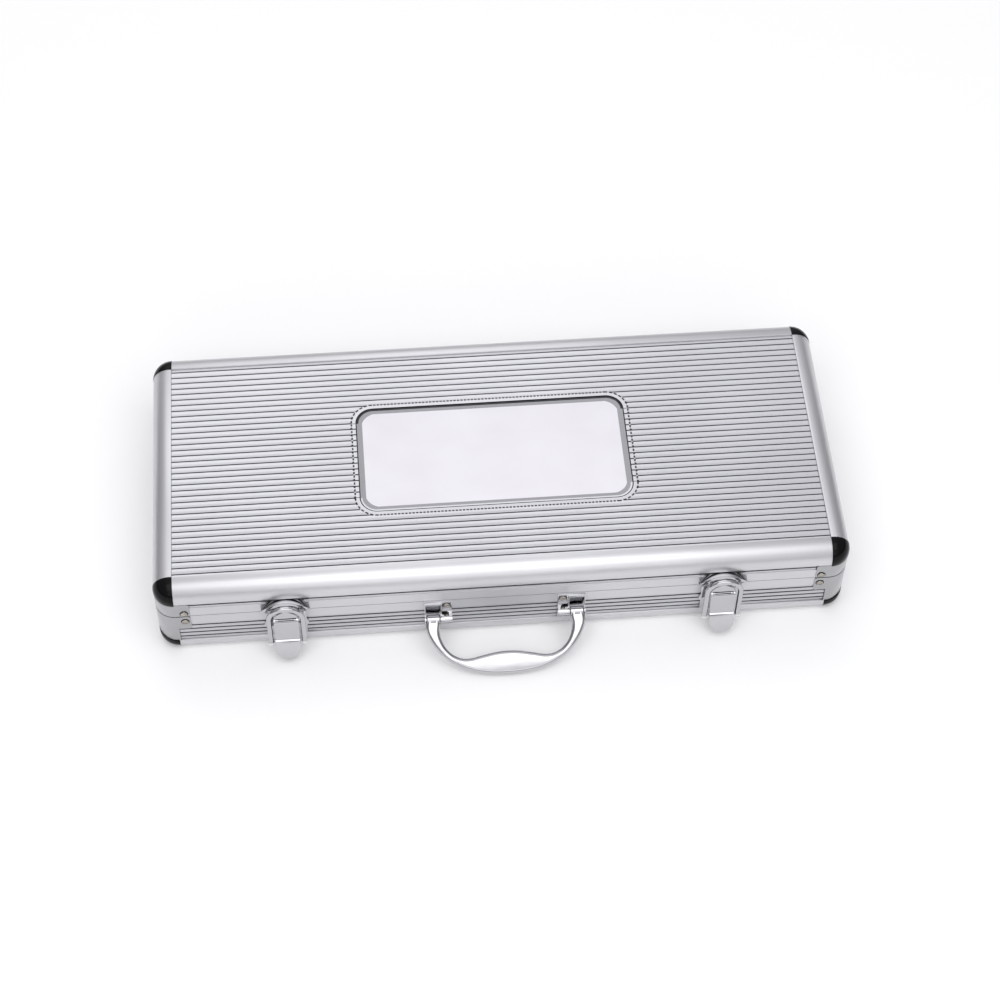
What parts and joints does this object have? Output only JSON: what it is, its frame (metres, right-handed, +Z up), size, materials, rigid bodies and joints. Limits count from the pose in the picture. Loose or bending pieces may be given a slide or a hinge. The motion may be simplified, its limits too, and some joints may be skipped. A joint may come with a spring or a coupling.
{
  "type": "poker chip case",
  "caption": "Aluminium-framed carrying case with ribbed panels, hinged lid, draw latches, drop handle and trays for poker chips, cards and dice.",
  "frame": {"origin": "centre of the underside", "axes": "+X along the length of the case, -Y towards the handle and latches, +Z up"},
  "size_m": [0.4814, 0.2531, 0.07],
  "materials": {
    "ribbed_panel": "ribbed, satin",
    "blank_plate": "satin white",
    "lining": "felted foam",
    "rivet_nickel": "polished nickel",
    "base_board": "textured laminate",
    "satin_extrusion": "satin anodised",
    "black_plastic": "moulded gloss",
    "chrome_sheet": "bright plated",
    "chrome_fitting": "bright plated",
    "hinge_steel": "plated",
    "flocked_tray": "flocked"
  },
  "bodies": {
    "base": {"base_bottom_panel": "base_board", "base_corner_cap_back_left": "black_plastic", "base_corner_cap_back_right": "black_plastic", "base_corner_cap_front_left": "black_plastic", "base_corner_cap_front_right": "black_plastic", "base_corner_plates": "chrome_sheet", "base_lining": "lining", "base_panel_back": "ribbed_panel", "base_panel_front": "ribbed_panel", "base_panel_left": "ribbed_panel", "base_panel_right": "ribbed_panel", "base_rim_back": "satin_extrusion", "base_rim_front": "satin_extrusion", "base_rim_left": "satin_extrusion", "base_rim_right": "satin_extrusion", "base_rivets": "rivet_nickel", "base_trim_back": "satin_extrusion", "base_trim_front": "satin_extrusion", "base_trim_left": "satin_extrusion", "base_trim_right": "satin_extrusion", "centre_tray": "flocked_tray", "chip_tray_left": "flocked_tray", "chip_tray_right": "flocked_tray", "handle_bracket_left": "chrome_fitting", "handle_bracket_right": "chrome_fitting", "handle_pins": "chrome_fitting", "hinge_base_leaf": "hinge_steel", "hinge_pin": "hinge_steel", "latch_axles": "chrome_fitting", "latch_plate_left": "chrome_fitting", "latch_plate_right": "chrome_fitting"},
    "lid": {"hinge_lid_leaf": "hinge_steel", "latch_keeper_left": "chrome_fitting", "latch_keeper_right": "chrome_fitting", "lid_corner_cap_back_left": "black_plastic", "lid_corner_cap_back_right": "black_plastic", "lid_corner_cap_front_left": "black_plastic", "lid_corner_cap_front_right": "black_plastic", "lid_corner_plates": "chrome_sheet", "lid_lining": "lining", "lid_panel_back": "ribbed_panel", "lid_panel_front": "ribbed_panel", "lid_panel_left": "ribbed_panel", "lid_panel_right": "ribbed_panel", "lid_rim_back": "satin_extrusion", "lid_rim_front": "satin_extrusion", "lid_rim_left": "satin_extrusion", "lid_rim_right": "satin_extrusion", "lid_rivets": "rivet_nickel", "lid_top_panel": "ribbed_panel", "lid_trim_back": "satin_extrusion", "lid_trim_front": "satin_extrusion", "lid_trim_left": "satin_extrusion", "lid_trim_right": "satin_extrusion", "name_plate": "blank_plate"},
    "handle": {"handle": "chrome_fitting"},
    "latch_lever_left": {"latch_lever_left": "chrome_fitting"},
    "latch_lever_right": {"latch_lever_right": "chrome_fitting"},
    "latch_loop_left": {"latch_loop_left": "chrome_fitting"},
    "latch_loop_right": {"latch_loop_right": "chrome_fitting"}
  },
  "joints": [
    {"name": "lid_hinge", "type": "hinge", "parent": "base", "child": "lid", "pos_m": [0, 0.1062, 0.041], "axis": [-1, 0, 0], "range_deg": [0, 100]},
    {"name": "handle_swing", "type": "hinge", "parent": "base", "child": "handle", "pos_m": [0, -0.1085, 0.025], "axis": [-1, 0, 0], "range_deg": [-50, 100]},
    {"name": "latch_lever_left", "type": "hinge", "parent": "base", "child": "latch_lever_left", "pos_m": [-0.151, -0.1093, 0.0374], "axis": [-1, 0, 0], "range_deg": [0, 90]},
    {"name": "latch_loop_left", "type": "hinge", "parent": "latch_lever_left", "child": "latch_loop_left", "pos_m": [-0.151, -0.11265, 0.0145], "axis": [-1, 0, 0], "range_deg": [-126.5, 0]},
    {"name": "latch_lever_right", "type": "hinge", "parent": "base", "child": "latch_lever_right", "pos_m": [0.151, -0.1093, 0.0374], "axis": [-1, 0, 0], "range_deg": [0, 90]},
    {"name": "latch_loop_right", "type": "hinge", "parent": "latch_lever_right", "child": "latch_loop_right", "pos_m": [0.151, -0.11265, 0.0145], "axis": [-1, 0, 0], "range_deg": [-126.5, 0]}
  ],
  "couplings": [
    {"joint": "latch_loop_left", "follows": "latch_lever_left", "ratio": -1.4},
    {"joint": "latch_loop_right", "follows": "latch_lever_right", "ratio": -1.4}
  ]
}
